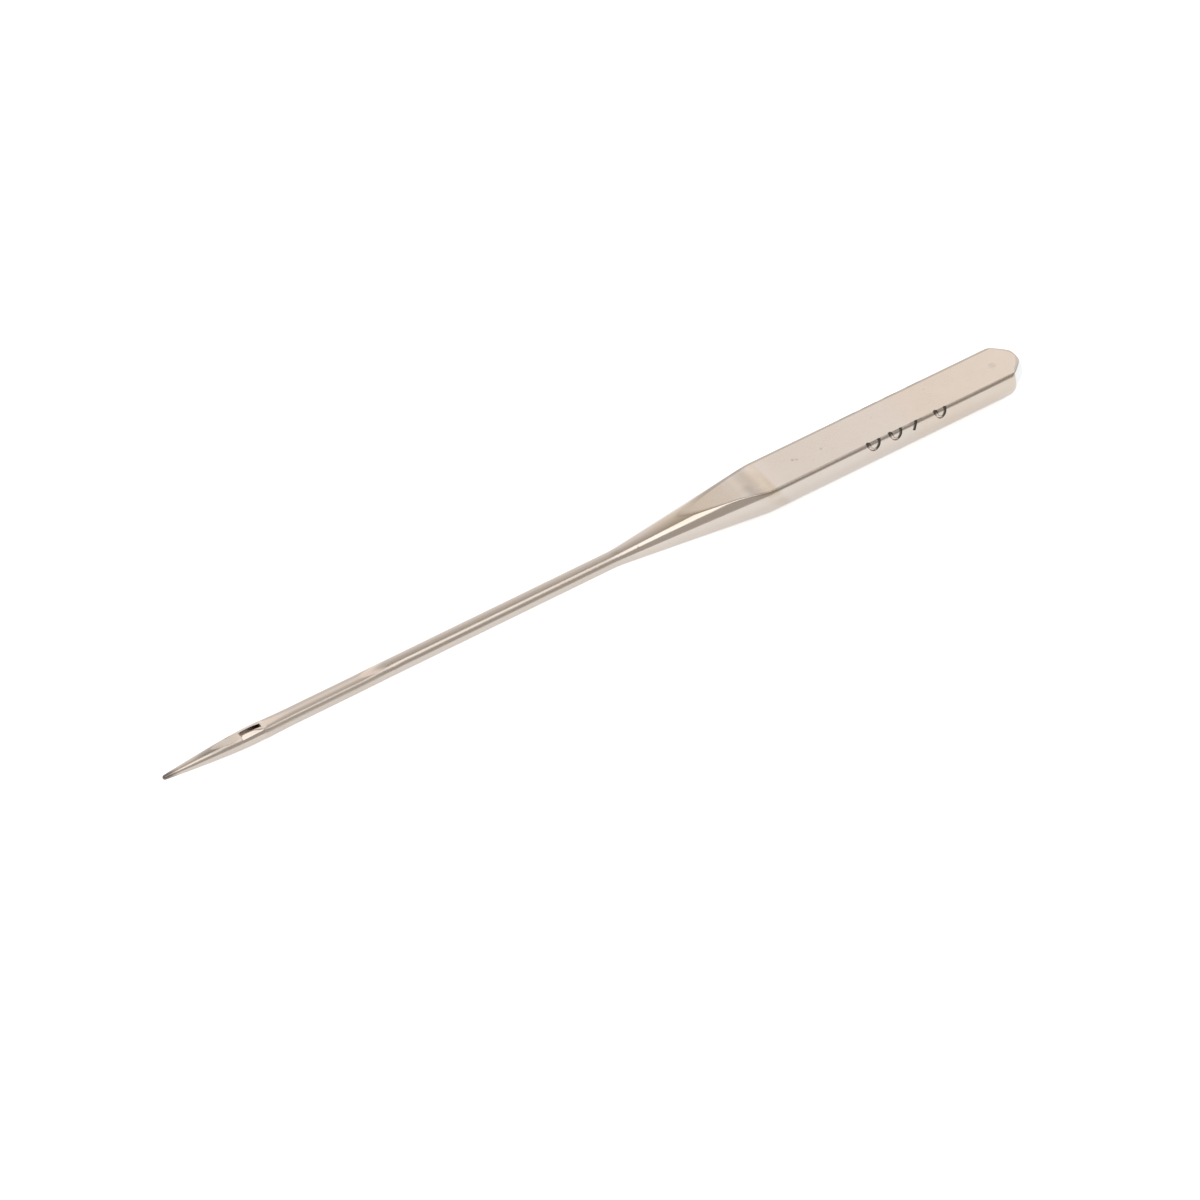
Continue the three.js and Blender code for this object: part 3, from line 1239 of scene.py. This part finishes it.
    def cone_tint(self, at: Surface, mottle: Value) -> Value:
        """The cone's brownish cast, strongest where the flat runs out."""
        paler = 1.0 - self.cone_paling * at.cover(Patch.CONE_TOP_END)
        height = self.cone_side_tint + (1.0 - self.cone_side_tint) * at.cover(Patch.CONE_TOP)
        return at.cover(Patch.CONE) * paler * height * (1.0 + self.cone_mottle * (mottle - 0.5))

    def straw(self, at: Surface, mottle: Value) -> Value:
        """The straw tint of heat round the shank's corner, with a crisp end on the shank."""
        below = self.section.flat_height - at.z
        edge = at.x - self.blank.shank_end + self.straw_wander * (mottle - 0.5) - self.straw_slant * below
        low, high = (self.straw_start + reach for reach in self.straw_start_run)
        band = edge.rise(low + self.straw_fan * below, high)
        band = band * edge.rise(self.straw_end + self.straw_end_run, self.straw_end - self.straw_end_run)
        side = self.straw_far_side + (1.0 - self.straw_far_side) * at.y.rise(*self.straw_sides)
        fading = 1.0 - self.straw_fading * below.rise(*self.straw_fading_run)
        return band * side * fading * mottle.rise(*self.straw_mottle_limits)

    def specks_and_dark_tip(self, shader: Shader, at: Surface) -> Value:
        """Dark specks on the shank and the darkened tip."""
        specks = shader.noise(at.place, self.specks).rise(*self.speck_limits) * at.cover(Patch.SHANK_TOP)
        specks_and_dark_tip = self.tip_darkening * at.cover(Patch.TIP) + self.speck_darkening * specks
        return shader.math("MINIMUM", specks_and_dark_tip, self.most_darkening)

    def dust_cover(self, at: Surface) -> Value:
        """A few single specks, each given by its place, its radius and its strength."""
        cover = 0.0
        for x, y, z, radius, strength in self.dust:
            far = (at.x - x) ** 2.0 + (at.y - y) ** 2.0 + (at.z - z) ** 2.0
            cover = cover + strength * far.rise(radius**2, 0.0)
        return cover

    def painted_mark_shade(self, at: Surface) -> Value:
        """Painted shade on the side of the stamped strokes turned from the light: their right arms, and the
        tops of their left ones.
        """
        tops = at.cover(Patch.STROKE_TOPS)
        dark = 0.0
        for glyph, middle, half_width in self.marks.glyphs:
            limit = half_width + self.mark_reach * self.marks.stroke_radius
            near = abs(at.x - middle).rise(limit + self.mark_rim, limit)
            if glyph is Glyph.ZERO:
                right = at.x.rise(*(middle + share * half_width for share in self.mark_shading))
                near = near * (right + tops - right * tops)
            dark = dark + near
        return self.mark_shade_strength * at.cover(Patch.STROKES) * dark

    def painted_eye_shade(self, at: Surface) -> Value:
        """Painted shade on the walls of the eye, darker towards the shank."""
        depth = self.eye_shade_point_end + (1.0 - self.eye_shade_point_end) * at.cover(Patch.EYE_SHANK_END)
        return at.cover(Patch.EYE_WALLS) * depth


@dataclass(frozen=True)
class WhiteTable:
    """The white table top: matt, lit by the studio, and brought up to the photograph's plain white."""

    reflectance: Colour = (0.9, 0.9, 0.9, 1.0)
    fill: float = 0.64
    mirrored_fill: float = 0.36
    mirrored_colour: Colour = (1.0, 1.1, 1.18, 1.0)

    def material(self) -> bpy.types.Material:
        """Builds the table's material, which keeps the needle's soft shadow."""
        material = bpy.data.materials.new("white_table")
        shader = Shader(material)
        matt = shader.value("ShaderNodeBsdfDiffuse", None, {"Color": self.reflectance})
        rays = shader.node("ShaderNodeLightPath")
        seen = Value(shader, rays.outputs["Is Camera Ray"])
        seen = seen + Value(shader, rays.outputs["Is Transmission Ray"])
        mirrored = Value(shader, rays.outputs["Is Glossy Ray"])
        colour = shader.mix(mirrored, WHITE, self.mirrored_colour)
        strength = seen * self.fill + mirrored * self.mirrored_fill
        glow = shader.value("ShaderNodeEmission", None, {"Color": colour, "Strength": strength})
        both = shader.value("ShaderNodeAddShader", None, {0: matt, 1: glow})
        shader.node("ShaderNodeOutputMaterial", None, {"Surface": both})
        return material


@dataclass
class Studio:
    """The table, the soft studio light and the camera, in metres."""

    table_height: float
    middle: Vector
    table_reach: float = 1.5
    camera_azimuth: float = math.radians(-34.61)
    camera_elevation: float = math.radians(44.967)
    camera_distance: float = 0.21577
    camera_clip: Span = (0.01, 10.0)
    focal_length: float = 174.1
    sensor_width: float = 36.0
    aim_right: float = -0.0001277
    aim_up: float = -0.001350
    softbox_height: float = 0.45
    softbox_turn: float = math.radians(-5.0)
    softbox_along: float = 0.015
    softbox_across: float = -0.272
    softbox_length: float = 0.58
    softbox_width: float = 0.32
    softbox_radiance: float = 1.13
    softbox_colour: Place = (0.95, 1.0, 1.02)
    near_room_colour: Colour = (0.45, 0.425, 0.4, 1.0)
    far_room_colour: Colour = (0.34, 0.305, 0.265, 1.0)
    room_turn: Span = (-0.82, -0.5)
    wall_azimuth: float = math.radians(78.5)
    wall_rise: Span = (-0.6, 1.4)
    dim_wall_rise: Span = (0.3, 1.25)
    dim_wall_start: Span = (0.24, 0.32)
    dim_wall_end: Span = (0.44, 0.38)
    butt_glow_along: Span = (0.36, 0.47)
    butt_glow_across: Span = (-0.1, 0.25)

    def __post_init__(self) -> None:
        """Works out the camera's axes."""
        around, up = self.camera_azimuth, self.camera_elevation
        self.back = Vector((math.sin(around) * math.cos(up), -math.cos(around) * math.cos(up), math.sin(up)))
        self.right = Vector((math.cos(around), math.sin(around), 0.0))
        self.up = self.back.cross(self.right)

    def build_table(self) -> bpy.types.Object:
        """Builds the table top."""
        top = bmesh.new()
        bmesh.ops.create_grid(top, x_segments=1, y_segments=1, size=self.table_reach)
        bmesh.ops.translate(top, vec=(0.0, 0.0, self.table_height), verts=top.verts)
        table = add_shape("table_top", top)
        table.data.materials.append(WhiteTable().material())
        return table

    def build_softbox(self) -> bpy.types.Object:
        """Builds the one long soft light overhead, which shows as the bright line along the blade."""
        lamp = bpy.data.lights.new("softbox", "AREA")
        lamp.shape = "RECTANGLE"
        lamp.size = self.softbox_length
        lamp.size_y = self.softbox_width
        lamp.color = self.softbox_colour
        lamp.energy = self.softbox_radiance * math.pi * self.softbox_length * self.softbox_width
        softbox = add_object("softbox", lamp)
        turn = Matrix.Rotation(self.softbox_turn, 4, "Z")
        offset = Vector((self.softbox_along, self.softbox_across, self.softbox_height))
        softbox.matrix_world = Matrix.Translation(self.middle + turn @ offset) @ turn
        return softbox

    def build_world(self) -> bpy.types.World:
        """Builds the room's light: a dim warm room that grows white behind the needle and beyond its butt."""
        world = bpy.data.worlds.new("studio")
        shader = Shader(world)
        towards = shader.value("ShaderNodeTexCoord", None, None, "Generated")
        heading = Vector((math.cos(self.wall_azimuth), math.sin(self.wall_azimuth), 0.0))
        product = {"operation": "DOT_PRODUCT"}
        facing = shader.value("ShaderNodeVectorMath", product, {0: towards, 1: heading}, "Value")
        along, across, _ = shader.split(towards)
        beyond_butt = along.rise(*self.butt_glow_along) * across.rise(*self.butt_glow_across)
        dim = along.rise(*self.dim_wall_start) * along.rise(*self.dim_wall_end)
        wall = facing.rise(*self.wall_rise) * (1.0 - dim) + facing.rise(*self.dim_wall_rise) * dim
        white = shader.math("MAXIMUM", wall, beyond_butt)
        room = shader.mix(across.rise(*self.room_turn), self.near_room_colour, self.far_room_colour)
        seen = Value(shader, shader.node("ShaderNodeLightPath").outputs["Is Camera Ray"])
        glow = shader.layers(room, [(white, WHITE), (seen, WHITE)])
        background = shader.value("ShaderNodeBackground", None, {"Color": glow, "Strength": 1.0})
        shader.node("ShaderNodeOutputWorld", None, {"Surface": background})
        bpy.context.scene.world = world
        return world

    def build_camera(self) -> bpy.types.Object:
        """Builds the camera at the photograph's viewing angle and makes it the scene's."""
        lens = bpy.data.cameras.new("photo_camera")
        lens.sensor_fit = "HORIZONTAL"
        lens.sensor_width = self.sensor_width
        lens.lens = self.focal_length
        lens.clip_start, lens.clip_end = self.camera_clip
        camera = add_object("photo_camera", lens)
        place = self.middle + self.back * self.camera_distance
        aim = self.middle + self.right * self.aim_right + self.up * self.aim_up
        turn = (place - aim).to_track_quat("Z", "Y").to_matrix().to_4x4()
        camera.matrix_world = Matrix.Translation(place) @ turn
        bpy.context.scene.camera = camera
        return camera

    def dress(self) -> None:
        """Sets the plain colour management that the studio is lit for."""
        bpy.context.scene.view_settings.view_transform = "Standard"


def build_needle() -> bpy.types.Object:
    """Builds the needle in the frame's place and dresses it."""
    low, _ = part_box("needle")
    needle_maker = Needle(length=-low.x * MM_PER_METRE)
    needle = needle_maker.build()
    finish = NickelPlate(needle_maker.blank, needle_maker.section, needle_maker.marks)
    needle.data.materials.clear()
    needle.data.materials.append(finish.material())
    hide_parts("needle")
    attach(needle, "root")
    return needle


def main() -> None:
    """Builds the needle and the studio in order."""
    needle = build_needle()
    log.info("%s: %d faces", needle.name, len(needle.data.polygons))
    low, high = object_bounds()
    middle = Vector(((low[0] + high[0]) / 2.0, 0.0, 0.0))
    studio = Studio(table_height=low[2], middle=middle)
    table = studio.build_table()
    log.info("%s at %.5f m", table.name, studio.table_height)
    log.info("%s", studio.build_softbox().name)
    log.info("%s", studio.build_world().name)
    log.info("%s", studio.build_camera().name)
    studio.dress()


if __name__ == "__main__":
    main()
